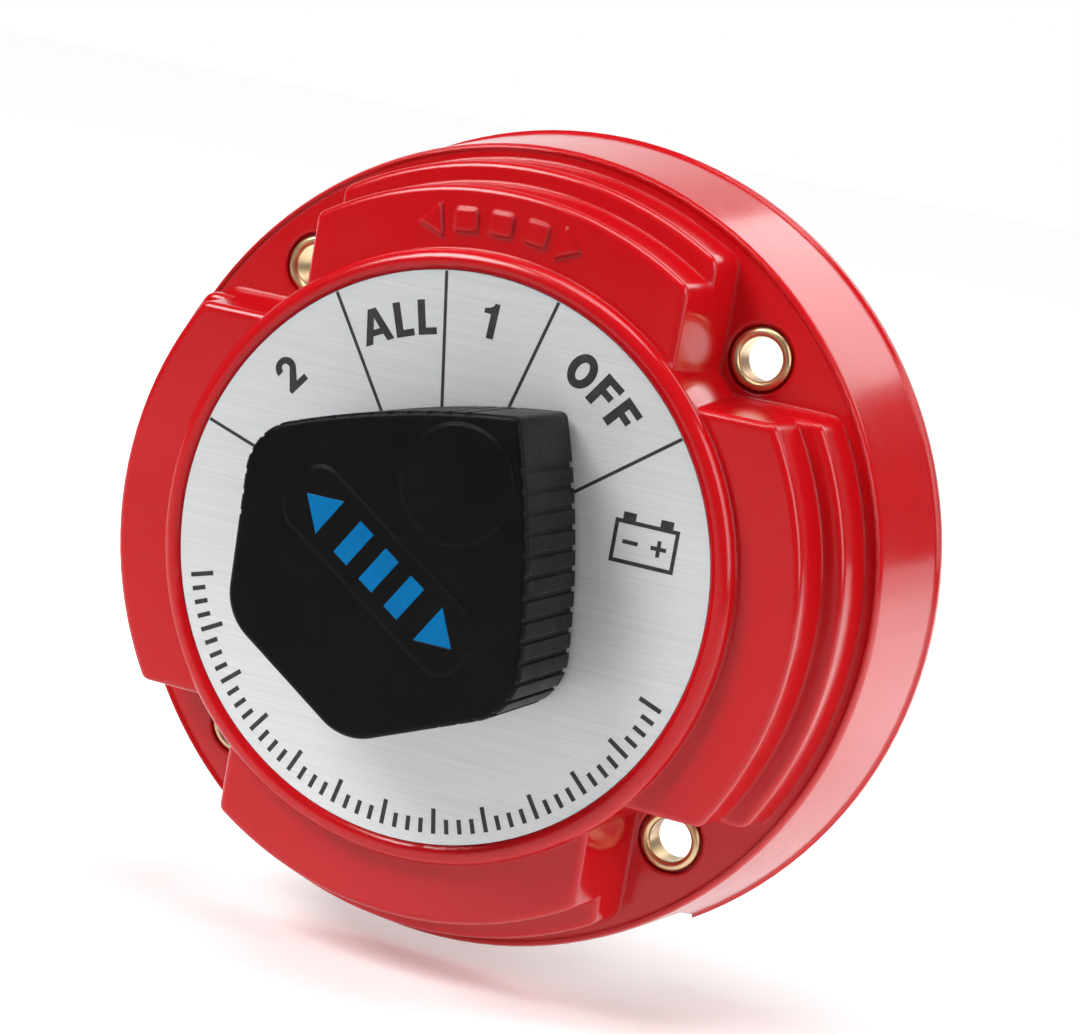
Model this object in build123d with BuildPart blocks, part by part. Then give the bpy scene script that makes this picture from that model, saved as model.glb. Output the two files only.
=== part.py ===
from build123d import *
import os
from math import atan2, cos, degrees, hypot, radians, sin, tan

# Surface-mounted marine battery selector switch: OFF, 1, ALL, 2.
#
# Millimetres. The origin is the centre of the mounting plane. The turning axis lies along Y,
# the face with the knob looks along -Y, and +Z is up. A "height" is a distance in front of the
# mounting plane, so height 10 lies at y = -10. Angles are seen from the front, counter-clockwise
# from +X. The knob stands at OFF.

os.makedirs("parts", exist_ok=True)

# ---------------------------------------------------------------- driving dimensions

# fits between parts
running_gap = 0.05
slip_gap = 0.02

# points and edges within this distance of a place belong to it
near = 1.0

# housing: rim, sloping wall, lip, deck, drum and bezel
rim_radius = 65.0
rim_bead_height = 1.3
rim_bead_step = 0.5
wall_thickness = 3.2
ridge_radius = 62.0
ridge_height = 23.3
lip_crest_radius = 61.4
lip_crest_height = 24.6
lip_inner_radius = 60.9
ridge_edge_radius = 0.6
lip_edge_radius = 0.3
deck_height = 24.0
deck_thickness = 4.0
drum_foot_radius = 46.0
drum_top_radius = 45.6
drum_top_height = 42.6
bezel_crest_radius = 44.5
bezel_crest_height = 45.2
bezel_inner_radius = 42.7
bezel_inner_height = 44.75
inner_ridge_radius = 59.4

# four raised pads, each with two levels
pad_height = 42.0
pad_radius = 55.1
step_height = 33.0
step_radius = 58.9
pad_end_half_width = 29.8
pad_draft = 4.0
pad_corner_radius = 2.8
pad_edge_radius = 1.1
pad_wall = 3.4
hollow_inner_radius = 48.0

# mounting eyelets
bolt_circle_diameter = 104.8
eyelet_angles = (45, 135, 225, 315)
eyelet_recess_radius = 5.2
eyelet_recess_depth = 0.9
eyelet_flange_radius = 4.7
eyelet_bore_radius = 3.35
eyelet_wall = 0.55
eyelet_rim_rise = 0.3
eyelet_mouth_rise = 0.4
eyelet_tail_inset = 0.7
eyelet_crest_height = 24.4

# cable entry in the bottom of the wall
entry_rim_half_width = 35.6
entry_deck_half_width = 39.2
entry_corner_radius = 4.0
entry_overlap = 1.0

# raised turn mark on the upper pad: arrow head, three bars, arrow head
mark_angles = (103, 96.5, 90, 83.5, 77)
mark_radius = 50.0
mark_bar = (3.6, 3.4)
mark_corner_radius = 0.5
mark_head = (3.6, 5.0)
mark_rise = 0.5

# chamber inside the drum, and the label on its front plate
chamber_radius = 38.0
chamber_top = 41.0
seat_radius = 41.0
seat_height = 26.8
plate_height = 44.2
label_radius = 42.6
label_thickness = 0.5
label_bore_radius = 9.0
bushing_radius = 7.0
pillar_radius = 4.0

# contact base, its screws, the studs and their hardware
base_back = 20.0
base_front = 26.0
base_radius = 40.8
base_screw_angles = (117, 237, 357)
base_screw_circle = 34.5
screw_radius = 2.0
screw_hole_depth = 10.0
screw_reach = 9.0
screw_head_radius = 3.6
screw_head_height = 2.2
screw_head_edge_radius = 0.8
screw_slot_width = 0.8
screw_slot_depth = 1.2
gasket_inner_radius = 38.5
stud_radius = 4.7625
stud_circle_radius = 25.0
stud_end_height = 1.5
stud_end_chamfer = 0.7
stud_head_radius = 6.5
stud_head_depth = 1.8
nut_across_flats = 14.2875
washer_bore_radius = 4.9
flat_washer_radius = 9.5
lock_washer_radius = 7.6
lock_washer_split = 1.2
nut_back = 16.0
flat_washer_back = 14.4
lock_washer_back = 12.2
terminal_nut_back = 5.2
nut_corner_radius = 7.6

# fixed contacts: stud angle, then where the arc starts and ends
contact_layout = {
    "1": (88, 84, 113),
    "2": (146, 121, 150),
    "common": (297, 229, 335),
}
contact_thickness = 2.6
contact_inner_radius = 21.0
contact_outer_radius = 29.0
contact_boss_radius = 7.2

# moving contact and rotor
tip_radius = 3.5
tip_circle_radius = 25.0
tip_bottom = 28.8
tip_chamfer = 0.3
blade_bottom = 29.6
blade_top = 31.6
blade_length = 58.0
blade_width = 10.0
blade_corner_radius = 2.0
blade_hub_radius = 12.0
blade_bore_radius = 5.6
clip_bottom = 32.0
clip_radius = 8.0
spring_inner_radius = 8.6
spring_outer_radius = 11.5
spring_thickness = 0.8
rotor_bottom = 33.0
rotor_top = 37.6
rotor_radius = 28.0
dog_length = 5.0
dog_width = 3.0
dog_centre_radius = 14.5

# stop pin, its slot in the rotor, and the four detent positions
turn_range = 90.0
detent_step = 30.0
stop_pin_angle = 200.0
stop_pin_radius = 1.5
stop_pin_bottom = 36.3
stop_pin_top = 42.5
stop_circle_radius = 20.0
stop_slot_half_width = 1.8
stop_slot_depth = 1.6
stop_overtravel = 0.5
notch_depth = 1.3
notch_half_width = 2.6
leaf_thickness = 0.6
leaf_bottom = 34.0
leaf_top = 37.0
leaf_reach = 31.2
leaf_end = 28.0

# shaft, its seal and its screw
shaft_radius = 5.0
shaft_bottom = 29.2
shaft_top = 56.0
shaft_bore_radius = 2.3
shaft_flat = 3.9
shaft_flat_front = 47.0
collar_radius = 8.0
collar_top = 39.6
thrust_washer_radius = 10.0
thrust_washer_top = 40.95
seal_height = 42.6
seal_radius = 0.75
seal_outer_radius = 5.02
knob_screw_head_radius = 4.4
knob_screw_head_height = 2.6
knob_screw_socket_radius = 1.5
knob_screw_socket_floor = 1.0
knob_screw_top = 60.8
insert_radius = 4.2
insert_top = 61.5

# knob: outline on its own axes, x along the pointer and y across it
knob_angle = 57.0
knob_base_height = 46.0
knob_face_height = 64.7
knob_skirt_radius = 10.0
knob_skirt_height = 45.1
knob_tip = 30.6
knob_tip_radius = 1.2
knob_side_half_width = 28.5
knob_side_radius = 8.5
knob_side_bulge = 1.6
knob_back = 22.4
knob_back_half_width = 12.9
knob_back_radius = 8.5
knob_edge_radius = 0.9
knob_wall = 3.2
knob_rib = 2.4
knob_roof = 4.0
rib_pitch = 3.0
rib_start = 7.6
rib_count = 16
rib_groove_width = 0.8
rib_groove_depth = 0.45

# raised badge and blank disc on the knob's face, and the turn mark inlaid in the badge
badge_length = 36.0
badge_width = 10.8
badge_corner_radius = 3.8
badge_rise = 0.4
badge_draft = 45
blank_radius = 8.8
blank_offset = 17.2
inlay_depth = 0.4
inlay_head = (5.0, 6.6)
inlay_head_offset = 13.0
inlay_bar = (2.8, 6.2)
inlay_bar_pitch = 5.4

# ---------------------------------------------------------------- derived sizes and helpers

deck_back = deck_height - deck_thickness
contact_top = base_front + contact_thickness
bolt_circle_radius = bolt_circle_diameter / 2
draft_slope = tan(radians(pad_draft))
pad_rise = pad_height - deck_height
step_rise = step_height - deck_height
stud_angles = [layout[0] for layout in contact_layout.values()]
knob_axis = (cos(radians(knob_angle)), 0, sin(radians(knob_angle)))


def facing(height):
    """Sketch plane parallel to the mounting plane, looking forward, at a height."""
    return Plane.XZ.offset(height)


def knob_plane(height):
    """Facing plane turned so that its x runs along the knob's pointer."""
    return Plane(origin=(0, -height, 0), x_dir=knob_axis, z_dir=(0, -1, 0))


def polar(radius, angle):
    """A point on a facing plane."""
    return (radius * cos(radians(angle)), radius * sin(radians(angle)))


def ring_points(radius, angles):
    return [polar(radius, angle) for angle in angles]


def ring_of(radius, angles):
    """Places at the given angles on one circle of a facing sketch."""
    return Locations(*ring_points(radius, angles))


def turned_ring(radius, angles):
    """The same places, each turned so that its y points away from the axis."""
    places = [Location((*polar(radius, angle), 0), (0, 0, angle - 90)) for angle in angles]
    return Locations(*places)


def reach(edge):
    """How far the middle of an edge is from the turning axis."""
    middle = edge.position_at(0.5)
    return hypot(middle.X, middle.Z)


def profile(*points):
    """Half section of a turned part, given as (radius, height) points."""
    return Polygon(*[(radius, -height) for radius, height in points], align=None)


def wedge(start, end):
    """A sector from the axis outward, larger than any contact, to intersect with."""
    middle = (start + end) / 2
    corners = ring_points(2 * contact_outer_radius, (start, middle, end))
    return Polygon((0, 0), *corners, align=None, mode=Mode.INTERSECT)


def arrow_head(size, way):
    """A triangle that points along x, or against it."""
    length, width = size
    tip = way * length / 2
    return Polygon((tip, 0), (-tip, width / 2), (-tip, -width / 2), align=None)


def shaft_section(gap):
    """The outline of the flatted shaft, larger all round by a gap."""
    Circle(shaft_radius + gap)
    Rectangle(4 * shaft_radius, 2 * (shaft_flat + gap), mode=Mode.INTERSECT)


def turn_mark(gap):
    """Arrow head, three bars, arrow head, along x and larger all round by a gap."""
    length, width = inlay_head
    for way in (-1, 1):
        with Locations((way * inlay_head_offset, 0)):
            arrow_head((length + 2 * gap, width + 2 * gap), way)
    with Locations(*[(offset, 0) for offset in (-inlay_bar_pitch, 0, inlay_bar_pitch)]):
        Rectangle(inlay_bar[0] + 2 * gap, inlay_bar[1] + 2 * gap)


def level_edges(builder, height):
    """The edges that lie at one height."""
    return builder.edges().filter_by_position(Axis.Y, -height - slip_gap, -height + slip_gap)


def finish(builder, name):
    """Label a finished node and write its STEP file."""
    builder.part.label = name
    export_step(builder.part, f"parts/{name}.step")


# ---------------------------------------------------------------- housing


def pad_outline(radius, half_width):
    """The four pads' outline at one level: a cross whose ends are arcs of one circle."""
    Rectangle(2 * rim_radius, 2 * half_width)
    Rectangle(2 * half_width, 2 * rim_radius)
    Circle(radius, mode=Mode.INTERSECT)


def outer_corners(sketch, half_width):
    """The eight corners where the pads' ends meet their arcs."""
    inside = half_width - near
    corners = sketch.vertices().filter_by(lambda v: min(abs(v.X), abs(v.Y)) > inside)
    return corners.group_by(SortBy.DISTANCE)[-1]


# the hollow behind one pad, in two levels that leave an even wall
with BuildPart() as pad_hollow:
    for outer, top in ((step_radius, step_height), (pad_radius, pad_height)):
        with BuildSketch(facing(deck_back)):
            Circle(outer - pad_wall)
            Circle(hollow_inner_radius, mode=Mode.SUBTRACT)
            with Locations((rim_radius / 2, 0)):
                Rectangle(rim_radius, 2 * (pad_end_half_width - pad_wall), mode=Mode.INTERSECT)
        extrude(amount=top - pad_wall - deck_back)

with BuildPart() as housing:
    # turned body: rim bead, sloping wall, lip, deck, drum and the bezel round the label
    with BuildSketch(Plane.XY) as section:
        with BuildLine():
            Polyline(
                (0, 0),
                (rim_radius, 0),
                (rim_radius, -rim_bead_height),
                (rim_radius - rim_bead_step, -rim_bead_height - rim_bead_step),
                (ridge_radius, -ridge_height),
                (lip_crest_radius, -lip_crest_height),
                (lip_inner_radius, -deck_height),
                (drum_foot_radius, -deck_height),
                (drum_top_radius, -drum_top_height),
            )
            ThreePointArc(
                (drum_top_radius, -drum_top_height),
                (bezel_crest_radius, -bezel_crest_height),
                (bezel_inner_radius, -bezel_inner_height),
            )
            Polyline(
                (bezel_inner_radius, -bezel_inner_height),
                (bezel_inner_radius, -plate_height),
                (0, -plate_height),
                (0, 0),
            )
        make_face()
        ridge_corner = section.vertices().sort_by_distance((ridge_radius, -ridge_height))[0]
        fillet(ridge_corner, ridge_edge_radius)
        lip_corner = section.vertices().sort_by_distance((lip_crest_radius, -lip_crest_height))[0]
        fillet(lip_corner, lip_edge_radius)
    revolve(axis=Axis.Y)

    # pads, both levels grown from the deck so that their ends share one sloping plane
    for top_radius, rise in ((step_radius, step_rise), (pad_radius, pad_rise)):
        foot_half_width = pad_end_half_width + pad_rise * draft_slope
        with BuildSketch(facing(deck_height)) as outline:
            pad_outline(top_radius + rise * draft_slope, foot_half_width)
            fillet(outer_corners(outline, foot_half_width), pad_corner_radius)
        extrude(amount=rise, taper=pad_draft)
    # round the outer edges of the steps, then all round the pads' faces
    step_edges = level_edges(housing, step_height).filter_by(GeomType.CIRCLE)
    fillet(step_edges.filter_by(lambda edge: reach(edge) > step_radius - near), pad_edge_radius)
    pad_edges = level_edges(housing, pad_height)
    fillet(pad_edges.filter_by(lambda edge: reach(edge) > drum_foot_radius), pad_edge_radius)

    # inside: the wiring space behind the deck, the seat of the contact base and the chamber
    with BuildSketch(Plane.XY):
        profile(
            (0, 0),
            (rim_radius - wall_thickness, 0),
            (inner_ridge_radius, deck_back),
            (seat_radius, deck_back),
            (seat_radius, seat_height),
            (chamber_radius, seat_height),
            (chamber_radius, chamber_top),
            (0, chamber_top),
        )
    revolve(axis=Axis.Y, mode=Mode.SUBTRACT)
    for quarter in range(4):
        add(pad_hollow.part.rotate(Axis.Y, 90 * quarter), mode=Mode.SUBTRACT)

    # pillars inside the chamber that take the contact base's screws
    with BuildSketch(facing(base_front)):
        with ring_of(base_screw_circle, base_screw_angles):
            Circle(pillar_radius)
    extrude(amount=chamber_top - base_front)
    with BuildSketch(facing(base_front)):
        with ring_of(base_screw_circle, base_screw_angles):
            Circle(screw_radius + slip_gap)
    extrude(amount=screw_hole_depth, mode=Mode.SUBTRACT)

    # eyelet seats in the deck
    with BuildSketch(facing(deck_height - eyelet_recess_depth)):
        with ring_of(bolt_circle_radius, eyelet_angles):
            Circle(eyelet_recess_radius)
    extrude(amount=2 * eyelet_recess_depth, mode=Mode.SUBTRACT)
    with BuildSketch(facing(deck_back)):
        with ring_of(bolt_circle_radius, eyelet_angles):
            Circle(eyelet_bore_radius + eyelet_wall + slip_gap)
    extrude(amount=deck_thickness, mode=Mode.SUBTRACT)

    # bore for the shaft bushing, and the blind hole for the stop pin
    with BuildSketch(facing(chamber_top)):
        Circle(bushing_radius + slip_gap)
    extrude(amount=plate_height - chamber_top, mode=Mode.SUBTRACT)
    with BuildSketch(facing(chamber_top)):
        with ring_of(stop_circle_radius, (stop_pin_angle,)):
            Circle(stop_pin_radius + slip_gap)
    extrude(amount=stop_pin_top - chamber_top, mode=Mode.SUBTRACT)

    # cable entry through the bottom of the wall, from the rim up to the deck
    with BuildSketch(Plane.XY.offset(-rim_radius)) as entry:
        with BuildLine():
            Polyline(
                (-entry_rim_half_width, entry_overlap),
                (-entry_deck_half_width, -deck_back),
                (entry_deck_half_width, -deck_back),
                (entry_rim_half_width, entry_overlap),
                close=True,
            )
        make_face()
        fillet(entry.vertices().group_by(Axis.Y)[0], entry_corner_radius)
    extrude(amount=rim_radius / 2, mode=Mode.SUBTRACT)

    # turn mark on the upper pad
    with BuildSketch(facing(pad_height - mark_rise)):
        with turned_ring(mark_radius, mark_angles[:1]):
            arrow_head(mark_head, -1)
        with turned_ring(mark_radius, mark_angles[1:-1]):
            RectangleRounded(*mark_bar, mark_corner_radius)
        with turned_ring(mark_radius, mark_angles[-1:]):
            arrow_head(mark_head, 1)
    extrude(amount=2 * mark_rise)
finish(housing, "housing")

# ---------------------------------------------------------------- trim on the housing

with BuildPart() as eyelet:
    with BuildSketch(Plane.XY):
        with BuildLine():
            seat = deck_height - eyelet_recess_depth
            tube = eyelet_bore_radius + eyelet_wall
            Polyline(
                (eyelet_bore_radius, -seat - eyelet_mouth_rise),
                (eyelet_bore_radius, -deck_back + eyelet_tail_inset),
                (tube, -deck_back + eyelet_tail_inset),
                (tube, -seat),
                (eyelet_flange_radius, -seat),
                (eyelet_flange_radius, -seat - eyelet_rim_rise),
            )
            ThreePointArc(
                (eyelet_flange_radius, -seat - eyelet_rim_rise),
                ((eyelet_bore_radius + eyelet_flange_radius) / 2, -eyelet_crest_height),
                (eyelet_bore_radius, -seat - eyelet_mouth_rise),
            )
        make_face()
    revolve(axis=Axis.Y)

with BuildPart() as eyelets:
    with Locations(*[(x, 0, z) for x, z in ring_points(bolt_circle_radius, eyelet_angles)]):
        add(eyelet.part)
finish(eyelets, "eyelets")

with BuildPart() as label_plate:
    with BuildSketch(facing(plate_height)):
        Circle(label_radius)
        Circle(label_bore_radius, mode=Mode.SUBTRACT)
    extrude(amount=label_thickness)
finish(label_plate, "label_plate")

with BuildPart() as shaft_bushing:
    with BuildSketch(facing(chamber_top)):
        Circle(bushing_radius)
        Circle(shaft_radius + running_gap, mode=Mode.SUBTRACT)
    extrude(amount=plate_height - chamber_top)
finish(shaft_bushing, "shaft_bushing")

with BuildPart() as stop_pin:
    with BuildSketch(facing(stop_pin_bottom)):
        with ring_of(stop_circle_radius, (stop_pin_angle,)):
            Circle(stop_pin_radius)
    extrude(amount=stop_pin_top - stop_pin_bottom)
finish(stop_pin, "stop_pin")

# ---------------------------------------------------------------- contact base

with BuildPart() as contact_base:
    with BuildSketch(facing(base_back)):
        Circle(base_radius)
        with ring_of(stud_circle_radius, stud_angles):
            Circle(stud_radius + slip_gap, mode=Mode.SUBTRACT)
        with ring_of(base_screw_circle, base_screw_angles):
            Circle(screw_radius + 2 * running_gap, mode=Mode.SUBTRACT)
    extrude(amount=base_front - base_back)
finish(contact_base, "contact_base")

with BuildPart() as base_gasket:
    with BuildSketch(facing(base_front)):
        Circle(base_radius)
        Circle(gasket_inner_radius, mode=Mode.SUBTRACT)
    extrude(amount=seat_height - base_front)
finish(base_gasket, "base_gasket")

with BuildPart() as base_screws:
    with BuildSketch(facing(base_back - screw_head_height)):
        with ring_of(base_screw_circle, base_screw_angles):
            Circle(screw_head_radius)
    extrude(amount=screw_head_height)
    fillet(base_screws.edges().group_by(Axis.Y)[-1], screw_head_edge_radius)
    with BuildSketch(facing(base_back)):
        with ring_of(base_screw_circle, base_screw_angles):
            Circle(screw_radius)
    extrude(amount=base_front - base_back + screw_reach)
    with BuildSketch(facing(base_back - screw_head_height)):
        with ring_of(base_screw_circle, base_screw_angles):
            Rectangle(screw_head_radius, screw_slot_width)
            Rectangle(screw_slot_width, screw_head_radius)
    extrude(amount=screw_slot_depth, mode=Mode.SUBTRACT)
finish(base_screws, "base_screws")

# ---------------------------------------------------------------- fixed contacts and studs

for terminal, (stud_angle, arc_start, arc_end) in contact_layout.items():
    centre = polar(stud_circle_radius, stud_angle)

    with BuildPart() as contact:
        with BuildSketch(facing(base_front)):
            Circle(contact_outer_radius)
            Circle(contact_inner_radius, mode=Mode.SUBTRACT)
            wedge(arc_start, arc_end)
            with Locations(centre):
                Circle(contact_boss_radius)
                Circle(stud_radius + slip_gap, mode=Mode.SUBTRACT)
        extrude(amount=contact_thickness)
        with BuildSketch(facing(contact_top)):
            with Locations(centre):
                Circle(stud_head_radius + slip_gap)
        extrude(amount=-stud_head_depth, taper=45, mode=Mode.SUBTRACT)
    finish(contact, f"contact_{terminal}")

    with BuildPart() as stud:
        with BuildSketch(facing(stud_end_height)):
            with Locations(centre):
                Circle(stud_radius)
        extrude(amount=contact_top - stud_end_height)
        chamfer(stud.edges().group_by(Axis.Y)[-1], stud_end_chamfer)
        with BuildSketch(facing(contact_top)):
            with Locations(centre):
                Circle(stud_head_radius)
        extrude(amount=-stud_head_depth, taper=45)
    finish(stud, f"stud_{terminal}")

# ---------------------------------------------------------------- hardware on the studs

with BuildPart() as base_nuts:
    with BuildSketch(facing(nut_back)):
        with ring_of(stud_circle_radius, stud_angles):
            RegularPolygon(nut_across_flats / 2, 6, major_radius=False)
            Circle(stud_radius + slip_gap, mode=Mode.SUBTRACT)
    extrude(amount=base_back - nut_back)
finish(base_nuts, "base_nuts")

with BuildPart() as flat_washers:
    with BuildSketch(facing(flat_washer_back)):
        with ring_of(stud_circle_radius, stud_angles):
            Circle(flat_washer_radius)
            Circle(washer_bore_radius, mode=Mode.SUBTRACT)
    extrude(amount=nut_back - flat_washer_back)
finish(flat_washers, "flat_washers")

with BuildPart() as lock_washers:
    with BuildSketch(facing(lock_washer_back)):
        with ring_of(stud_circle_radius, stud_angles):
            Circle(lock_washer_radius)
            Circle(washer_bore_radius, mode=Mode.SUBTRACT)
            with Locations((lock_washer_radius, 0)):
                Rectangle(lock_washer_radius, lock_washer_split, mode=Mode.SUBTRACT)
    extrude(amount=flat_washer_back - lock_washer_back)
finish(lock_washers, "lock_washers")

# a hexagon turned down at both ends, so that its corners are bevelled
with BuildPart() as terminal_nut:
    with BuildSketch(facing(terminal_nut_back)):
        RegularPolygon(nut_across_flats / 2, 6, major_radius=False)
    extrude(amount=lock_washer_back - terminal_nut_back)
    with BuildSketch(Plane.XY):
        profile(
            (stud_radius + slip_gap, terminal_nut_back),
            (nut_corner_radius, terminal_nut_back),
            (nut_across_flats, terminal_nut_back + nut_across_flats / 2),
            (nut_across_flats, lock_washer_back - nut_across_flats / 2),
            (nut_corner_radius, lock_washer_back),
            (stud_radius + slip_gap, lock_washer_back),
        )
    revolve(axis=Axis.Y, mode=Mode.INTERSECT)

with BuildPart() as terminal_nuts:
    with Locations(*[(x, 0, z) for x, z in ring_points(stud_circle_radius, stud_angles)]):
        add(terminal_nut.part)
finish(terminal_nuts, "terminal_nuts")

# ---------------------------------------------------------------- shaft and its parts

with BuildPart() as drive_shaft:
    with BuildSketch(Plane.XY):
        profile(
            (shaft_bore_radius, shaft_bottom),
            (shaft_radius, shaft_bottom),
            (shaft_radius, rotor_top),
            (collar_radius, rotor_top),
            (collar_radius, collar_top),
            (shaft_radius, collar_top),
            (shaft_radius, seal_height - seal_radius - slip_gap),
            (seal_outer_radius - 2 * seal_radius - slip_gap, seal_height - seal_radius - slip_gap),
            (seal_outer_radius - 2 * seal_radius - slip_gap, seal_height + seal_radius + slip_gap),
            (shaft_radius, seal_height + seal_radius + slip_gap),
            (shaft_radius, shaft_top),
            (shaft_bore_radius, shaft_top),
        )
    revolve(axis=Axis.Y)
    # flats for the rotor at the back and for the knob at the front
    for bottom, top in ((shaft_bottom, rotor_top), (shaft_flat_front, shaft_top)):
        with BuildSketch(knob_plane(bottom)):
            Circle(2 * shaft_radius)
            Rectangle(4 * shaft_radius, 2 * shaft_flat, mode=Mode.SUBTRACT)
        extrude(amount=top - bottom, mode=Mode.SUBTRACT)
finish(drive_shaft, "drive_shaft")

with BuildPart() as shaft_seal:
    with BuildSketch(Plane.XY):
        with Locations((seal_outer_radius - seal_radius, -seal_height)):
            Circle(seal_radius)
    revolve(axis=Axis.Y)
finish(shaft_seal, "shaft_seal")

with BuildPart() as thrust_washer:
    with BuildSketch(facing(collar_top)):
        Circle(thrust_washer_radius)
        Circle(shaft_radius + slip_gap, mode=Mode.SUBTRACT)
    extrude(amount=thrust_washer_top - collar_top)
finish(thrust_washer, "thrust_washer")

with BuildPart() as knob_screw:
    with BuildSketch(facing(shaft_bottom - knob_screw_head_height)):
        Circle(knob_screw_head_radius)
        RegularPolygon(knob_screw_socket_radius, 6, major_radius=False, mode=Mode.SUBTRACT)
    extrude(amount=knob_screw_head_height)
    with BuildSketch(facing(shaft_bottom - knob_screw_socket_floor)):
        Circle(screw_radius)
    extrude(amount=knob_screw_top - shaft_bottom + knob_screw_socket_floor)
finish(knob_screw, "knob_screw")

with BuildPart() as knob_insert:
    with BuildSketch(facing(shaft_top)):
        Circle(insert_radius)
        Circle(screw_radius + slip_gap, mode=Mode.SUBTRACT)
    extrude(amount=insert_top - shaft_top)
finish(knob_insert, "knob_insert")

# ---------------------------------------------------------------- rotor and moving contact

with BuildPart() as rotor:
    with BuildSketch(knob_plane(rotor_bottom)):
        Circle(rotor_radius)
        # detent notches: the one at the pointer holds OFF, the next three the other positions
        notch_angles = [-detent_step * step for step in range(4)]
        notches = [Location((0, 0, 0), (0, 0, angle)) for angle in notch_angles]
        with Locations(*notches):
            Polygon(
                (rotor_radius - notch_depth, 0),
                (rotor_radius + notch_depth, 2 * notch_half_width),
                (rotor_radius + notch_depth, -2 * notch_half_width),
                align=None,
                mode=Mode.SUBTRACT,
            )
    extrude(amount=rotor_top - rotor_bottom)
    # four dogs that hold the moving contact between them
    with BuildSketch(knob_plane(blade_bottom)):
        with GridLocations(2 * dog_centre_radius, blade_width + dog_width + 4 * running_gap, 2, 2):
            Rectangle(dog_length, dog_width)
    extrude(amount=rotor_bottom - blade_bottom)
    with BuildSketch(knob_plane(rotor_bottom)):
        shaft_section(slip_gap)
    extrude(amount=rotor_top - rotor_bottom, mode=Mode.SUBTRACT)
    # slot that the stop pin runs in
    slot_start = stop_pin_angle - turn_range - stop_overtravel
    slot_end = stop_pin_angle + stop_overtravel
    with BuildSketch(facing(rotor_top)):
        Circle(stop_circle_radius + stop_slot_half_width)
        Circle(stop_circle_radius - stop_slot_half_width, mode=Mode.SUBTRACT)
        wedge(slot_start, slot_end)
        with ring_of(stop_circle_radius, (slot_start, slot_end)):
            Circle(stop_slot_half_width)
    extrude(amount=-stop_slot_depth, mode=Mode.SUBTRACT)
finish(rotor, "rotor")

with BuildPart() as rotor_clip:
    with BuildSketch(knob_plane(clip_bottom)):
        Circle(clip_radius)
        Circle(shaft_radius + slip_gap, mode=Mode.SUBTRACT)
        with Locations((clip_radius, 0)):
            Rectangle(clip_radius, shaft_radius, mode=Mode.SUBTRACT)
    extrude(amount=rotor_bottom - clip_bottom)
finish(rotor_clip, "rotor_clip")

with BuildPart() as disc_spring:
    with BuildSketch(Plane.XY):
        profile(
            (spring_inner_radius, rotor_bottom - spring_thickness),
            (spring_inner_radius, rotor_bottom),
            (spring_outer_radius, blade_top + spring_thickness),
            (spring_outer_radius, blade_top),
        )
    revolve(axis=Axis.Y)
finish(disc_spring, "disc_spring")

with BuildPart() as moving_contact:
    with BuildSketch(knob_plane(blade_bottom)):
        RectangleRounded(blade_length, blade_width, blade_corner_radius)
        Circle(blade_hub_radius)
        Circle(blade_bore_radius, mode=Mode.SUBTRACT)
    extrude(amount=blade_top - blade_bottom)
finish(moving_contact, "moving_contact")

with BuildPart() as contact_tips:
    with BuildSketch(knob_plane(tip_bottom)):
        with Locations((-tip_circle_radius, 0), (tip_circle_radius, 0)):
            Circle(tip_radius)
    extrude(amount=blade_bottom - tip_bottom)
    chamfer(contact_tips.edges().group_by(Axis.Y)[-1], tip_chamfer)
finish(contact_tips, "contact_tips")

# leaf spring across the chamber, whose nose drops into the rotor's notches
with BuildPart() as detent_spring:
    with BuildSketch(knob_plane(leaf_bottom)):
        with BuildLine():
            nose = rotor_radius - notch_depth + leaf_thickness
            FilletPolyline(
                (leaf_end, leaf_end),
                (leaf_reach, 2 * notch_half_width),
                (nose, 0),
                (leaf_reach, -2 * notch_half_width),
                (leaf_end, -leaf_end),
                radius=leaf_thickness,
            )
        trace(line_width=leaf_thickness)
        Circle(chamber_radius - slip_gap, mode=Mode.INTERSECT)
    extrude(amount=leaf_top - leaf_bottom)
finish(detent_spring, "detent_spring")

# ---------------------------------------------------------------- knob

# half of the outline's grip, from the tip round the side corner, to place the ribs along
side_middle = Vector(knob_tip, knob_side_half_width) / 2
side_out = Vector(knob_side_half_width, knob_tip).normalized() * knob_side_bulge
with BuildLine() as grip:
    ThreePointArc((knob_tip, 0), side_middle + side_out, (0, knob_side_half_width))
    Line((0, knob_side_half_width), (-knob_back, knob_back_half_width))
    fillet(grip.vertices().sort_by(Axis.Y)[-1], knob_side_radius)

rib_places = []
for rib in range(rib_count):
    along = (rib_start + rib * rib_pitch) / grip.wire().length
    point = grip.wire().position_at(along)
    direction = grip.wire().tangent_at(along)
    turn = degrees(atan2(direction.Y, direction.X))
    rib_places.append(Location((point.X, point.Y, 0), (0, 0, turn)))

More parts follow.
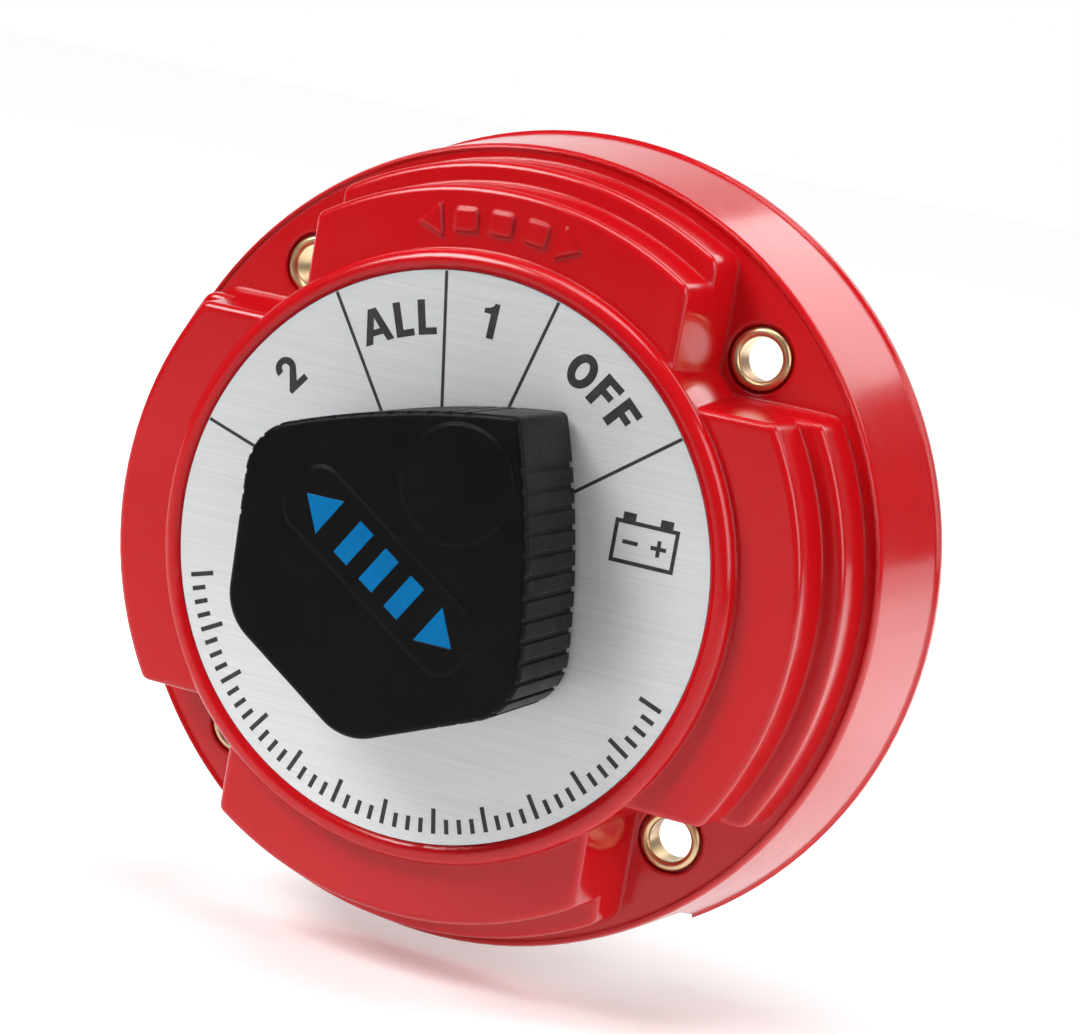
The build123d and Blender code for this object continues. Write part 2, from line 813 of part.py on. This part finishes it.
with BuildPart() as knob:
    with BuildSketch(knob_plane(knob_base_height)) as knob_outline:
        with BuildLine():
            ThreePointArc((knob_tip, 0), side_middle + side_out, (0, knob_side_half_width))
            Polyline(
                (0, knob_side_half_width),
                (-knob_back, knob_back_half_width),
                (-knob_back, 0),
            )
            mirror(about=Plane.XZ)
        make_face()
        fillet(knob_outline.vertices().sort_by(Axis.X)[-1], knob_tip_radius)
        fillet(knob_outline.vertices().sort_by(Axis.Y)[0], knob_side_radius)
        fillet(knob_outline.vertices().sort_by(Axis.Y)[-1], knob_side_radius)
        back_corners = knob_outline.vertices().filter_by(lambda corner: corner.X < near - knob_back)
        fillet(back_corners.filter_by(lambda corner: abs(corner.Y) > near), knob_back_radius)
    extrude(amount=knob_face_height - knob_base_height)
    fillet(knob.faces().sort_by(Axis.Y)[0].edges(), knob_edge_radius)

    # rib grooves, full height
    with BuildSketch(knob_plane(knob_base_height)):
        with Locations(*rib_places):
            Rectangle(rib_groove_width, 2 * rib_groove_depth)
        mirror(about=Plane.XZ)
    extrude(amount=knob_face_height - knob_base_height, mode=Mode.SUBTRACT)

    # hollow underside with a core and a cross of webs
    with BuildSketch(knob_plane(knob_base_height)):
        offset(knob_outline.sketch_local, amount=-knob_wall)
        Circle(knob_skirt_radius, mode=Mode.SUBTRACT)
        Rectangle(2 * knob_tip, knob_rib, mode=Mode.SUBTRACT)
        Rectangle(knob_rib, 2 * knob_side_half_width, mode=Mode.SUBTRACT)
    extrude(amount=knob_face_height - knob_roof - knob_base_height, mode=Mode.SUBTRACT)

    # skirt towards the label, and the bores for the shaft and the threaded insert
    with BuildSketch(knob_plane(knob_skirt_height)):
        Circle(knob_skirt_radius)
    extrude(amount=knob_base_height - knob_skirt_height)
    with BuildSketch(knob_plane(knob_skirt_height)):
        shaft_section(slip_gap)
    extrude(amount=shaft_top - knob_skirt_height, mode=Mode.SUBTRACT)
    with BuildSketch(knob_plane(knob_skirt_height)):
        Circle(shaft_radius + slip_gap)
    extrude(amount=shaft_flat_front - knob_skirt_height, mode=Mode.SUBTRACT)
    with BuildSketch(knob_plane(shaft_top)):
        Circle(insert_radius + slip_gap)
    extrude(amount=insert_top - shaft_top, mode=Mode.SUBTRACT)

    # raised badge across the face and raised blank disc towards the tip, with sloping edges
    with BuildSketch(knob_plane(knob_face_height)):
        RectangleRounded(badge_width, badge_length, badge_corner_radius)
        with Locations((blank_offset, 0)):
            Circle(blank_radius)
    extrude(amount=badge_rise, taper=badge_draft)
    with BuildSketch(knob_plane(knob_face_height + badge_rise - inlay_depth)):
        with Locations(Location((0, 0, 0), (0, 0, 90))):
            turn_mark(slip_gap)
    extrude(amount=2 * inlay_depth, mode=Mode.SUBTRACT)
finish(knob, "knob")

with BuildPart() as knob_inlay:
    with BuildSketch(knob_plane(knob_face_height + badge_rise - inlay_depth)):
        with Locations(Location((0, 0, 0), (0, 0, 90))):
            turn_mark(0)
    extrude(amount=inlay_depth)
finish(knob_inlay, "knob_inlay")
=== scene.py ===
from math import cos, pi, radians, sin

import bpy
from mathutils import Matrix, Vector


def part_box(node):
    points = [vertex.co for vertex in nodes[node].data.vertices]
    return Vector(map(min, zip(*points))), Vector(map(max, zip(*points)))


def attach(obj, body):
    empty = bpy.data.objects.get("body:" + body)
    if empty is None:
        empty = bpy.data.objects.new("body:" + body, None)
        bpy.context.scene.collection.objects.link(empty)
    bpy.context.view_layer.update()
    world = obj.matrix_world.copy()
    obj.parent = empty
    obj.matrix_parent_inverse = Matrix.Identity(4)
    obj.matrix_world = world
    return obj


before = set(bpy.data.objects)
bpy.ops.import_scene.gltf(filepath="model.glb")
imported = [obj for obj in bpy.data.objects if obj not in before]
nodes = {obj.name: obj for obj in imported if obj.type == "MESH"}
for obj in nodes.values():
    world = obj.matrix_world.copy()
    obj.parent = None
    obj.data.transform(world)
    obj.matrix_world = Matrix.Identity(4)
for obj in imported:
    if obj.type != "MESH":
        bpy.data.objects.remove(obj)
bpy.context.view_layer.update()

# The knob turns about Y and its face looks along -Y. "Height" is a distance in front of the
# mounting plane. Angles are in degrees, seen from the front, counter-clockwise from +X. Named
# sizes are in millimetres, and MM turns them into Blender's metres; the lights are in metres.
MM = 0.001
label_low, label_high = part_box("label_plate")
LABEL_HEIGHT = -label_low[1] / MM
LABEL_RADIUS = (label_high[0] - label_low[0]) / 2 / MM
THREAD_PITCH = 1.5875
THREAD_DEPTH = 0.55


def polar(radius, angle):
    """A point seen from the front."""
    return (radius * cos(radians(angle)), radius * sin(radians(angle)))


# ---------------------------------------------------------------- camera

CAMERA_AZIMUTH = 20.69
CAMERA_ELEVATION = 8.11
CAMERA_ROLL = 10.21
CAMERA_DISTANCE = 500
CAMERA_LENS = 103.57
CAMERA_SENSOR = 36
CAMERA_OFFSET = (1.30, -3.20)


def make_camera():
    """A camera that looks at the origin, set off sideways and up, and rolled."""
    azimuth, elevation, roll = radians(CAMERA_AZIMUTH), radians(CAMERA_ELEVATION), radians(CAMERA_ROLL)
    back = Vector((sin(azimuth) * cos(elevation), -cos(azimuth) * cos(elevation), sin(elevation)))
    level = Vector((cos(azimuth), sin(azimuth), 0))
    rise = back.cross(level)
    right = level * cos(roll) + rise * sin(roll)
    up = rise * cos(roll) - level * sin(roll)
    data = bpy.data.cameras.new("camera")
    data.lens = CAMERA_LENS
    data.sensor_width = CAMERA_SENSOR
    data.sensor_fit = "HORIZONTAL"
    camera = bpy.data.objects.new("camera", data)
    bpy.context.collection.objects.link(camera)
    turn = Matrix((right, up, back)).transposed().to_4x4()
    place = back * CAMERA_DISTANCE - right * CAMERA_OFFSET[0] - up * CAMERA_OFFSET[1]
    camera.matrix_world = Matrix.Translation(place * MM) @ turn
    bpy.context.scene.camera = camera


make_camera()

# ---------------------------------------------------------------- material kit

BEVEL_SAMPLES = 10
WEAR_SAMPLES = 6


class Surface:
    """A material built on one Principled shader, with helpers for its procedural detail."""

    def __init__(self, name, color, roughness, metallic=0.0):
        self.material = bpy.data.materials.new(name)
        self.material.use_nodes = True
        self.tree = self.material.node_tree
        self.shader = self.tree.nodes["Principled BSDF"]
        self.color = color
        self.shader.inputs["Base Color"].default_value = (*color, 1)
        self.shader.inputs["Roughness"].default_value = roughness
        self.shader.inputs["Metallic"].default_value = metallic
        self.coords = self.tree.nodes.new("ShaderNodeTexCoord").outputs["Object"]
        self.normal = None
        self.tint = None

    def add(self, kind, inputs=None, **settings):
        """A new node, whose inputs are values or other nodes' outputs."""
        node = self.tree.nodes.new(kind)
        for key, value in settings.items():
            setattr(node, key, value)
        for key, value in (inputs or {}).items():
            if isinstance(value, bpy.types.NodeSocket):
                self.tree.links.new(value, node.inputs[key])
            else:
                node.inputs[key].default_value = value
        return node

    def link(self, output, socket):
        self.tree.links.new(output, self.shader.inputs[socket])

    def stretched(self, scale):
        """Object coordinates scaled along each axis."""
        return self.add("ShaderNodeMapping", {"Vector": self.coords, "Scale": scale}).outputs[0]

    def noise(self, scale, detail=4.0, rough=0.55, stretch=(1, 1, 1)):
        """A smooth random pattern; a higher scale makes it finer."""
        inputs = {"Vector": self.stretched(stretch), "Scale": scale, "Detail": detail}
        inputs["Roughness"] = rough
        return self.add("ShaderNodeTexNoise", inputs).outputs["Fac"]

    def spread(self, value, low, high, start=0.3, end=0.7):
        """A 0..1 pattern mapped to a range, clamped."""
        inputs = {"Value": value, "From Min": start, "From Max": end, "To Min": low, "To Max": high}
        return self.add("ShaderNodeMapRange", inputs).outputs[0]

    def math(self, operation, first, second=0.0):
        return self.add("ShaderNodeMath", {0: first, 1: second}, operation=operation).outputs[0]

    def vary_color(self, factor, other):
        """Blend towards another colour by a pattern."""
        base = self.tint if self.tint is not None else (*self.color, 1)
        mix = self.add("ShaderNodeMix", {0: factor, 6: base, 7: (*other, 1)}, data_type="RGBA")
        self.tint = mix.outputs[2]
        self.link(self.tint, "Base Color")

    def vary_roughness(self, pattern):
        self.link(pattern, "Roughness")

    def soften_edges(self, radius):
        """Rounded edges, as a mould or a polish leaves them."""
        bevel = self.add("ShaderNodeBevel", {"Radius": radius * MM}, samples=BEVEL_SAMPLES)
        self.normal = bevel.outputs[0]
        self.link(self.normal, "Normal")

    def bump(self, pattern, depth, strength=1.0):
        """Relief of a depth in millimetres."""
        inputs = {"Height": pattern, "Distance": depth * MM, "Strength": strength}
        if self.normal is not None:
            inputs["Normal"] = self.normal
        self.normal = self.add("ShaderNodeBump", inputs).outputs[0]
        self.link(self.normal, "Normal")

    def worn_edges(self, radius, amount, color):
        """Lighter, rubbed edges where the rounded normal leaves the flat one."""
        bevel = self.add("ShaderNodeBevel", {"Radius": radius * MM}, samples=WEAR_SAMPLES).outputs[0]
        flat = self.add("ShaderNodeNewGeometry").outputs["Normal"]
        dot = self.add("ShaderNodeVectorMath", {0: bevel, 1: flat}, operation="DOT_PRODUCT")
        edge = self.spread(dot.outputs["Value"], amount, 0.0, 0.75, 0.995)
        patchy = self.spread(self.noise(420, 3), 0.0, 1.0, 0.35, 0.7)
        self.vary_color(self.math("MULTIPLY", edge, patchy), color)


def dress(node, surface):
    """Give a CAD node its finished material."""
    node = nodes[node]
    node.data.materials.clear()
    node.data.materials.append(surface.material)
    for polygon in node.data.polygons:
        polygon.material_index = 0


# ---------------------------------------------------------------- materials

THIN_INK_GAIN = 3.2


def red_plastic():
    """Glossy moulded plastic with a faint ripple and rubbed edges."""
    red = Surface("housing_red", (0.56, 0.004, 0.008), 0.15)
    red.shader.inputs["Specular IOR Level"].default_value = 0.42
    red.shader.inputs["Coat Weight"].default_value = 0.06
    red.shader.inputs["Coat Roughness"].default_value = 0.05
    red.vary_color(red.spread(red.noise(28, 3), 0.0, 0.55), (0.47, 0.003, 0.006))
    red.vary_color(red.spread(red.noise(900, 2), 0.0, 0.10, 0.55, 0.8), (0.62, 0.03, 0.03))
    red.worn_edges(0.5, 0.18, (0.70, 0.06, 0.06))
    red.vary_roughness(red.spread(red.noise(60, 5, 0.65), 0.10, 0.21))
    red.soften_edges(0.9)
    red.bump(red.noise(130, 3, 0.5), 0.05, 0.3)
    red.bump(red.noise(1400, 2, 0.6), 0.008, 0.3)
    return red


def black_plastic():
    """Dull moulded plastic with a fine grain."""
    black = Surface("knob_black", (0.0025, 0.0025, 0.003), 0.40)
    black.shader.inputs["Specular IOR Level"].default_value = 0.11
    black.vary_color(black.spread(black.noise(70, 4), 0.0, 0.6), (0.005, 0.005, 0.0055))
    black.worn_edges(0.35, 0.25, (0.04, 0.04, 0.042))
    black.vary_roughness(black.spread(black.noise(140, 5, 0.65), 0.32, 0.48))
    black.soften_edges(0.4)
    black.bump(black.noise(1800, 3, 0.7), 0.10, 0.8)
    black.bump(black.noise(260, 3), 0.05, 0.3)
    return black


def brushed_label():
    """Metal brushed along X, in wide and fine streaks."""
    label = Surface("label_brushed", (0.84, 0.86, 0.87), 0.36, 0.35)
    streaks = label.noise(30, 6, 0.72, (1.2, 1.0, 95.0))
    fine = label.noise(60, 4, 0.75, (1.0, 1.0, 220.0))
    label.vary_color(label.spread(streaks, 0.0, 0.75, 0.3, 0.72), (0.62, 0.64, 0.66))
    label.vary_color(label.spread(fine, 0.0, 0.55, 0.35, 0.7), (0.84, 0.85, 0.86))
    label.vary_color(label.spread(label.noise(22, 2), 0.0, 0.18), (0.66, 0.67, 0.68))
    label.vary_roughness(label.spread(fine, 0.30, 0.46))
    label.shader.inputs["Anisotropic"].default_value = 0.5
    label.bump(fine, 0.012, 0.35)
    return label


def metal(name, color, dark, rough, edge=0.25):
    """Turned, pressed or plated metal with tarnish in patches and fine tool marks."""
    surface = Surface(name, color, rough, 1.0)
    surface.vary_color(surface.spread(surface.noise(120, 5, 0.6), 0.0, 0.7), dark)
    surface.vary_color(surface.spread(surface.noise(700, 3), 0.0, 0.25, 0.5, 0.75), dark)
    surface.vary_roughness(surface.spread(surface.noise(240, 4, 0.6), rough * 0.75, rough * 1.35))
    surface.soften_edges(edge)
    surface.bump(surface.noise(500, 3, 0.6), 0.02, 0.3)
    return surface


def stud_metal(stud):
    """Plated stud whose thread is a helix about its own centre."""
    surface = metal(f"{stud}_thread", (0.78, 0.74, 0.68), (0.55, 0.42, 0.30), 0.30)
    low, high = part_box(stud)
    parts = surface.add("ShaderNodeSeparateXYZ", {0: surface.coords})
    across = surface.math("SUBTRACT", parts.outputs[0], (low[0] + high[0]) / 2)
    upward = surface.math("SUBTRACT", parts.outputs[2], (low[2] + high[2]) / 2)
    turn = surface.math("ARCTAN2", upward, across)
    along = surface.math("MULTIPLY", parts.outputs[1], 2 * pi / (THREAD_PITCH * MM))
    wave = surface.math("SINE", surface.math("ADD", along, turn))
    surface.bump(surface.spread(wave, 0.0, 1.0, -1.0, 1.0), THREAD_DEPTH, 1.0)
    return surface


def soft_plastic(name, color, other, rough, grain_depth=0.03):
    """Dull moulded plastic, rubber or paint with a fine grain."""
    surface = Surface(name, color, rough)
    surface.vary_color(surface.spread(surface.noise(90, 5), 0.0, 0.8), other)
    surface.vary_roughness(surface.spread(surface.noise(300, 4), rough * 0.8, rough * 1.2))
    surface.soften_edges(0.3)
    surface.bump(surface.noise(900, 4, 0.65), grain_depth, 0.5)
    return surface


def printed(name, color):
    """Printing ink, thin in places."""
    ink = Surface(name, color, 0.5)
    thin = tuple(THIN_INK_GAIN * part for part in color)
    ink.vary_color(ink.spread(ink.noise(900, 4), 0.0, 0.5, 0.4, 0.8), thin)
    ink.vary_roughness(ink.spread(ink.noise(500, 3), 0.4, 0.62))
    ink.bump(ink.noise(2500, 2), 0.01, 0.3)
    return ink


brass = metal("brass_eyelet", (0.74, 0.56, 0.33), (0.55, 0.38, 0.18), 0.34, edge=0.3)
steel = metal("steel_plain", (0.60, 0.60, 0.61), (0.42, 0.42, 0.43), 0.30)
spring = metal("steel_spring", (0.46, 0.47, 0.50), (0.30, 0.30, 0.32), 0.34)
plated = metal("copper_plated", (0.80, 0.78, 0.74), (0.60, 0.52, 0.44), 0.32)
copper = metal("copper_strip", (0.86, 0.50, 0.34), (0.56, 0.28, 0.18), 0.34)
silver = metal("silver_contact", (0.88, 0.87, 0.84), (0.62, 0.60, 0.58), 0.3)
rubber = soft_plastic("seal_rubber", (0.022, 0.022, 0.022), (0.045, 0.043, 0.042), 0.7)
nylon = soft_plastic("nylon_natural", (0.76, 0.72, 0.62), (0.66, 0.62, 0.52), 0.5)
phenolic = soft_plastic("phenolic_base", (0.032, 0.022, 0.018), (0.060, 0.038, 0.028), 0.45, 0.05)
blue = soft_plastic("inlay_paint", (0.0, 0.13, 0.36), (0.0, 0.17, 0.42), 0.5, 0.02)
blue.shader.inputs["Specular IOR Level"].default_value = 0.1

FINISHES = {
    brass: ("eyelets", "shaft_bushing", "knob_insert"),
    steel: ("stop_pin", "base_screws", "terminal_nuts", "flat_washers", "knob_screw", "drive_shaft"),
    spring: ("detent_spring", "lock_washers", "rotor_clip", "disc_spring"),
    plated: ("base_nuts",),
    copper: ("contact_1", "contact_2", "contact_common", "moving_contact"),
    silver: ("contact_tips",),
    rubber: ("base_gasket", "shaft_seal"),
    nylon: ("rotor", "thrust_washer"),
    phenolic: ("contact_base",),
    blue: ("knob_inlay",),
    red_plastic(): ("housing",),
    black_plastic(): ("knob",),
    brushed_label(): ("label_plate",),
}
for surface, names in FINISHES.items():
    for name in names:
        dress(name, surface)
for stud in ("stud_1", "stud_2", "stud_common"):
    dress(stud, stud_metal(stud))

# ---------------------------------------------------------------- print on the label

ARC_STEPS = 28
PRINT_THICKNESS = 0.02
GLYPH_HEIGHT = 5.2
DIVIDER_ANGLES = (36.5, 73.7, 98.5, 123.0, 162.5)
DIVIDER_WIDTH = 0.5
DIVIDER_INNER_RADIUS = 14.0
PRINT_MARGIN = 0.1
TICK_COUNT = 49
TICK_FIRST_ANGLE = -164
TICK_STEP = 3
TICK_OUTER_RADIUS = 41.0
TICK_WIDTH = 0.7
LONG_TICK = 3.8
SHORT_TICK = 2.2
TICKS_PER_LONG_TICK = 4
SIGN_RADIUS = 32.7
SIGN_ANGLE = 16
SIGN_SIZE = (10.0, 6.4)
SIGN_WALL = 0.6
SIGN_POST_INNER = 1.9
SIGN_POST_OUTER = 3.9
SIGN_POST_RISE = 1.1
SIGN_STROKE = (2.4, 0.6)
SIGN_STROKE_SHIFT = 2.2


def arc(centre, radii, start, end):
    """Points along an ellipse's arc."""
    points = []
    for step in range(ARC_STEPS + 1):
        angle = radians(start + (end - start) * step / ARC_STEPS)
        points.append((centre[0] + radii[0] * cos(angle), centre[1] + radii[1] * sin(angle)))
    return points


def ring(radii):
    """A closed ellipse about the glyph's centre."""
    return arc((0, 0), radii, 0, 360)[:-1]


# outlines in a box one unit high; a second outline is a hole
GLYPHS = {
    "O": [ring((0.42, 0.52)), ring((0.17, 0.28))],
    "F": [
        [(-0.32, -0.5), (-0.32, 0.5), (0.34, 0.5), (0.34, 0.29), (-0.06, 0.29), (-0.06, 0.12),
         (0.27, 0.12), (0.27, -0.08), (-0.06, -0.08), (-0.06, -0.5)],
    ],
    "L": [[(-0.27, -0.5), (-0.27, 0.5), (-0.04, 0.5), (-0.04, -0.3), (0.29, -0.3), (0.29, -0.5)]],
    "A": [
        [(-0.46, -0.5), (-0.13, 0.5), (0.13, 0.5), (0.46, -0.5), (0.23, -0.5), (0.16, -0.28),
         (-0.16, -0.28), (-0.23, -0.5)],
        [(-0.1, -0.1), (0.1, -0.1), (0.0, 0.23)],
    ],
    "1": [[(-0.04, -0.5), (-0.04, 0.18), (-0.25, 0.18), (-0.25, 0.32), (-0.1, 0.35), (0.0, 0.42),
           (0.03, 0.5), (0.18, 0.5), (0.18, -0.5)]],
    "2": [arc((0, 0.19), (0.33, 0.32), 185, -38) + [(0.02, -0.31), (0.34, -0.31), (0.34, -0.5),
          (-0.35, -0.5), (-0.35, -0.38)] + arc((0, 0.19), (0.12, 0.13), -38, 185)],
}

# glyph, distance from the axis, angle
MARKS = (
    ("O", 36.2, 61.3), ("F", 36.2, 53.9), ("F", 36.2, 47.1),
    ("1", 36.2, 86.9),
    ("A", 35.7, 116.6), ("L", 35.7, 109.3), ("L", 35.7, 103.2),
    ("2", 36.2, 142.2),
)


def placed(outline, scale, radius, angle):
    """A flat outline scaled, turned so that its y points away from the axis, and moved out."""
    turn = radians(angle - 90)
    centre = polar(radius, angle)
    points = []
    for x, y in outline:
        x, y = x * scale, y * scale
        turned = (x * cos(turn) - y * sin(turn), x * sin(turn) + y * cos(turn))
        points.append((centre[0] + turned[0], centre[1] + turned[1]))
    return points


def rectangle(width, height):
    """The corners of a rectangle about the centre."""
    half, rise = width / 2, height / 2
    return [(-half, -rise), (half, -rise), (half, rise), (-half, rise)]


def bar(width, length, radius, angle):
    """A straight bar whose length points away from the axis."""
    return placed(rectangle(width, length), 1, radius, angle)


def print_piece(name, outlines, surface):
    """A printed layer: filled outlines that lie on the label."""
    curve = bpy.data.curves.new(name, "CURVE")
    curve.dimensions = "2D"
    curve.fill_mode = "BOTH"
    curve.extrude = PRINT_THICKNESS / 2
    for outline in outlines:
        spline = curve.splines.new("POLY")
        spline.points.add(len(outline) - 1)
        for point, (x, y) in zip(spline.points, outline):
            point.co = (x, y, 0, 1)
        spline.use_cyclic_u = True
    shape = bpy.data.objects.new(name + "_shape", curve)
    bpy.context.collection.objects.link(shape)
    mesh = bpy.data.meshes.new_from_object(shape.evaluated_get(bpy.context.evaluated_depsgraph_get()))
    bpy.data.objects.remove(shape)
    stand = Matrix.Translation((0, -(LABEL_HEIGHT + PRINT_THICKNESS / 2) * MM, 0))
    mesh.transform(stand @ Matrix.Rotation(pi / 2, 4, "X") @ Matrix.Scale(MM, 4))
    mesh.materials.clear()
    mesh.materials.append(surface.material)
    piece = bpy.data.objects.new(name, mesh)
    bpy.context.collection.objects.link(piece)
    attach(piece, "housing_body")


def battery_sign():
    """Outlines of a case with two posts, its inside, a plus and a minus."""
    half, top = SIGN_SIZE[0] / 2, SIGN_SIZE[1] / 2
    crown = top + SIGN_POST_RISE
    right_post = [(SIGN_POST_OUTER, top), (SIGN_POST_OUTER, crown), (SIGN_POST_INNER, crown),
                  (SIGN_POST_INNER, top)]
    left_post = [(-x, y) for x, y in reversed(right_post)]
    case = [(-half, -top), (half, -top), (half, top), *right_post, *left_post, (-half, top)]
    inside = rectangle(2 * (half - SIGN_WALL), 2 * (top - SIGN_WALL))
    reach, side = SIGN_STROKE[0] / 2, SIGN_STROKE[1] / 2
    arm = [(-side, -reach), (side, -reach), (side, -side)]
    plus = []
    for quarter in range(4):
        plus += arm
        arm = [(-y, x) for x, y in arm]
    minus = rectangle(*SIGN_STROKE)
    shifts = (0, 0, SIGN_STROKE_SHIFT, -SIGN_STROKE_SHIFT)
    centre = polar(SIGN_RADIUS, SIGN_ANGLE)
    sign = []
    for outline, shift in zip((case, inside, plus, minus), shifts):
        sign.append([(centre[0] + x + shift, centre[1] + y) for x, y in outline])
    return sign


def label_print():
    """Position marks, lines between them, a plain scale and a battery sign."""
    ink = printed("label_ink", (0.020, 0.020, 0.018))
    letters = []
    for glyph, radius, angle in MARKS:
        letters += [placed(outline, GLYPH_HEIGHT, radius, angle) for outline in GLYPHS[glyph]]
    print_piece("position_marks", letters, ink)
    inner, outer = DIVIDER_INNER_RADIUS, LABEL_RADIUS - PRINT_MARGIN
    lines = [bar(DIVIDER_WIDTH, outer - inner, (inner + outer) / 2, angle) for angle in DIVIDER_ANGLES]
    print_piece("divider_lines", lines, ink)
    # a plain scale along the lower edge
    ticks = []
    for step in range(TICK_COUNT):
        length = LONG_TICK if step % TICKS_PER_LONG_TICK == 0 else SHORT_TICK
        middle = TICK_OUTER_RADIUS - length / 2
        ticks.append(bar(TICK_WIDTH, length, middle, TICK_FIRST_ANGLE + TICK_STEP * step))
    print_piece("scale_ticks", ticks, ink)
    print_piece("battery_sign", battery_sign(), ink)


label_print()

# ---------------------------------------------------------------- floor, light and world

FLOOR_DROP = 65.2
FLOOR_REACH = 6000
# where along Y the floor's painted shade fades from dark in front, and where its painted glow rises
# behind
FLOOR_PAINTED_SHADE = (-300, -80)
FLOOR_PAINTED_GLOW = (-100, 140)
PAINTED_GLOW_STRENGTH = 0.86
WALL_DIRECTION = (-0.35, 0.93, -0.05)
WALL_FADE = {"From Min": 0.70, "From Max": 0.93, "To Min": 0.10, "To Max": 1.0}
# each light's place, target, size and power, in metres and watts
LIGHTS = {
    "key": ((-0.55, -0.70, 0.80), (0, 0, 0), (0.5, 0.5), 12.5),
    "side": ((0.72, -0.12, 0.30), (0, -0.02, 0), (0.40, 0.55), 2.8),
    "top": ((0.1, -0.12, 0.8), (0, 0, 0), (0.6, 0.3), 3.2),
    "back": ((0.32, 0.75, 0.55), (0, 0, 0), (0.8, 0.45), 2.4),
}


def make_floor():
    """A pale floor under the rim's circle, with painted shade darkening it in front and a painted glow
    behind.
    """
    reach = FLOOR_REACH * MM
    mesh = bpy.data.meshes.new("floor")
    corners = [(-reach, -reach, 0), (reach, -reach, 0), (reach, reach, 0), (-reach, reach, 0)]
    mesh.from_pydata(corners, [], [(0, 1, 2, 3)])
    floor = bpy.data.objects.new("floor", mesh)
    floor.location.z = -FLOOR_DROP * MM
    bpy.context.collection.objects.link(floor)
    pale = Surface("floor_pale", (0.86, 0.86, 0.86), 0.9)
    pale.vary_color(pale.spread(pale.noise(3, 2), 0.0, 0.2), (0.84, 0.84, 0.84))
    pale.shader.inputs["Specular IOR Level"].default_value = 0.0
    # white emission for the floor's painted glow
    pale.shader.inputs["Emission Color"].default_value = (1, 1, 1, 1)
    behind = pale.add("ShaderNodeSeparateXYZ", {0: pale.coords}).outputs[1]
    # painted shade: the floor's colour is darkened towards the front
    shade_start, shade_end = (place * MM for place in FLOOR_PAINTED_SHADE)
    pale.vary_color(pale.spread(behind, 1.0, 0.0, shade_start, shade_end), (0.5, 0.5, 0.5))
    # painted glow: the floor emits light behind the object, though it is no lamp
    glow_start, glow_end = (place * MM for place in FLOOR_PAINTED_GLOW)
    pale.link(pale.spread(behind, 0.0, PAINTED_GLOW_STRENGTH, glow_start, glow_end), "Emission Strength")
    mesh.materials.append(pale.material)


def make_light(name, place, target, size, power):
    """A white soft box, in metres, that faces a target."""
    data = bpy.data.lights.new(name, "AREA")
    data.shape = "RECTANGLE"
    data.size, data.size_y = size
    data.energy = power
    light = bpy.data.objects.new(name, data)
    light.location = place
    light.rotation_euler = (Vector(target) - Vector(place)).to_track_quat("-Z", "Y").to_euler()
    bpy.context.collection.objects.link(light)


def make_world():
    """A white wall behind the object, to the left, and a dim room elsewhere."""
    world = bpy.data.worlds.new("studio")
    bpy.context.scene.world = world
    world.use_nodes = True
    tree = world.node_tree
    background = tree.nodes["Background"]
    coords = tree.nodes.new("ShaderNodeTexCoord")
    facing = tree.nodes.new("ShaderNodeVectorMath")
    facing.operation = "DOT_PRODUCT"
    tree.links.new(coords.outputs["Generated"], facing.inputs[0])
    facing.inputs[1].default_value = WALL_DIRECTION
    fade = tree.nodes.new("ShaderNodeMapRange")
    tree.links.new(facing.outputs["Value"], fade.inputs["Value"])
    for socket, value in WALL_FADE.items():
        fade.inputs[socket].default_value = value
    tree.links.new(fade.outputs[0], background.inputs["Strength"])
    background.inputs["Color"].default_value = (1, 1, 1, 1)


make_floor()
make_world()
for name, settings in LIGHTS.items():
    make_light(name, *settings)
bpy.context.scene.view_settings.view_transform = "Standard"
